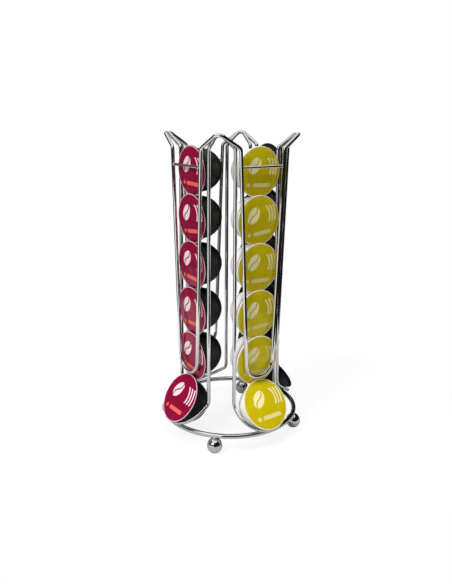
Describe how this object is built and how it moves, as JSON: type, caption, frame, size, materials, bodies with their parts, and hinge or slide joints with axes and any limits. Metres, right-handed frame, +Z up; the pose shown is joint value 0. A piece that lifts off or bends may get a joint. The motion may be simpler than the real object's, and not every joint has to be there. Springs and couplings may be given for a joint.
{
  "type": "coffee capsule dispenser",
  "caption": "Four-sided upright wire rack on a round base ring that stacks coffee capsules in columns and offers the lowest of each, leaning out, to be pulled free.",
  "frame": {"origin": "on the floor under the rack's upright axis, which lies at the centre of the base ring", "axes": "+Z up along the rack's axis; -Y towards the front loaded column, +Y towards the empty column, -X and +X towards the other two loaded columns"},
  "size_m": [0.1628, 0.161, 0.3333],
  "materials": {
    "chrome_wire": "bright chrome-plated steel wire",
    "white_cup": "satin moulded plastic",
    "black_cup": "satin moulded plastic",
    "yellow_lid": "printed glossy foil",
    "crimson_lid": "printed glossy foil"
  },
  "bodies": {
    "rack": {"base_ring": "chrome_wire", "foot_1": "chrome_wire", "foot_2": "chrome_wire", "foot_3": "chrome_wire", "foot_4": "chrome_wire", "guide_wire_front": "chrome_wire", "guard_wire_front": "chrome_wire", "cross_bar_front": "chrome_wire", "guide_wire_left": "chrome_wire", "guard_wire_left": "chrome_wire", "cross_bar_left": "chrome_wire", "guide_wire_back": "chrome_wire", "guard_wire_back": "chrome_wire", "cross_bar_back": "chrome_wire", "guide_wire_right": "chrome_wire", "guard_wire_right": "chrome_wire", "cross_bar_right": "chrome_wire"},
    "capsule_front_1": {"cup_front_1": "white_cup", "lid_front_1": "yellow_lid"},
    "capsule_front_2": {"cup_front_2": "white_cup", "lid_front_2": "yellow_lid"},
    "capsule_front_3": {"cup_front_3": "white_cup", "lid_front_3": "yellow_lid"},
    "capsule_front_4": {"cup_front_4": "white_cup", "lid_front_4": "yellow_lid"},
    "capsule_front_5": {"cup_front_5": "white_cup", "lid_front_5": "yellow_lid"},
    "capsule_front_6": {"cup_front_6": "white_cup", "lid_front_6": "yellow_lid"},
    "capsule_left_1": {"cup_left_1": "black_cup", "lid_left_1": "crimson_lid"},
    "capsule_left_2": {"cup_left_2": "black_cup", "lid_left_2": "crimson_lid"},
    "capsule_left_3": {"cup_left_3": "black_cup", "lid_left_3": "crimson_lid"},
    "capsule_left_4": {"cup_left_4": "black_cup", "lid_left_4": "crimson_lid"},
    "capsule_left_5": {"cup_left_5": "black_cup", "lid_left_5": "crimson_lid"},
    "capsule_left_6": {"cup_left_6": "black_cup", "lid_left_6": "crimson_lid"},
    "capsule_right_1": {"cup_right_1": "black_cup", "lid_right_1": "crimson_lid"},
    "capsule_right_2": {"cup_right_2": "black_cup", "lid_right_2": "crimson_lid"},
    "capsule_right_3": {"cup_right_3": "black_cup", "lid_right_3": "crimson_lid"},
    "capsule_right_4": {"cup_right_4": "black_cup", "lid_right_4": "crimson_lid"},
    "capsule_right_5": {"cup_right_5": "black_cup", "lid_right_5": "crimson_lid"},
    "capsule_right_6": {"cup_right_6": "black_cup", "lid_right_6": "crimson_lid"}
  },
  "joints": [
    {"name": "front_1_pull_out", "type": "slide", "parent": "rack", "child": "capsule_front_1", "axis": [0, -0.8387, 0.5446], "range_m": [0, 0.08]},
    {"name": "front_2_lift", "type": "slide", "parent": "rack", "child": "capsule_front_2", "axis": [0, 0, 1], "range_m": [0, 0.28]},
    {"name": "front_3_lift", "type": "slide", "parent": "capsule_front_2", "child": "capsule_front_3", "axis": [0, 0, 1], "range_m": [0, 0.23]},
    {"name": "front_4_lift", "type": "slide", "parent": "capsule_front_3", "child": "capsule_front_4", "axis": [0, 0, 1], "range_m": [0, 0.18]},
    {"name": "front_5_lift", "type": "slide", "parent": "capsule_front_4", "child": "capsule_front_5", "axis": [0, 0, 1], "range_m": [0, 0.13]},
    {"name": "front_6_lift", "type": "slide", "parent": "capsule_front_5", "child": "capsule_front_6", "axis": [0, 0, 1], "range_m": [0, 0.08]},
    {"name": "left_1_pull_out", "type": "slide", "parent": "rack", "child": "capsule_left_1", "axis": [-0.8387, 0, 0.5446], "range_m": [0, 0.08]},
    {"name": "left_2_lift", "type": "slide", "parent": "rack", "child": "capsule_left_2", "axis": [0, 0, 1], "range_m": [0, 0.28]},
    {"name": "left_3_lift", "type": "slide", "parent": "capsule_left_2", "child": "capsule_left_3", "axis": [0, 0, 1], "range_m": [0, 0.23]},
    {"name": "left_4_lift", "type": "slide", "parent": "capsule_left_3", "child": "capsule_left_4", "axis": [0, 0, 1], "range_m": [0, 0.18]},
    {"name": "left_5_lift", "type": "slide", "parent": "capsule_left_4", "child": "capsule_left_5", "axis": [0, 0, 1], "range_m": [0, 0.13]},
    {"name": "left_6_lift", "type": "slide", "parent": "capsule_left_5", "child": "capsule_left_6", "axis": [0, 0, 1], "range_m": [0, 0.08]},
    {"name": "right_1_pull_out", "type": "slide", "parent": "rack", "child": "capsule_right_1", "axis": [0.8387, 0, 0.5446], "range_m": [0, 0.08]},
    {"name": "right_2_lift", "type": "slide", "parent": "rack", "child": "capsule_right_2", "axis": [0, 0, 1], "range_m": [0, 0.28]},
    {"name": "right_3_lift", "type": "slide", "parent": "capsule_right_2", "child": "capsule_right_3", "axis": [0, 0, 1], "range_m": [0, 0.23]},
    {"name": "right_4_lift", "type": "slide", "parent": "capsule_right_3", "child": "capsule_right_4", "axis": [0, 0, 1], "range_m": [0, 0.18]},
    {"name": "right_5_lift", "type": "slide", "parent": "capsule_right_4", "child": "capsule_right_5", "axis": [0, 0, 1], "range_m": [0, 0.13]},
    {"name": "right_6_lift", "type": "slide", "parent": "capsule_right_5", "child": "capsule_right_6", "axis": [0, 0, 1], "range_m": [0, 0.08]}
  ]
}
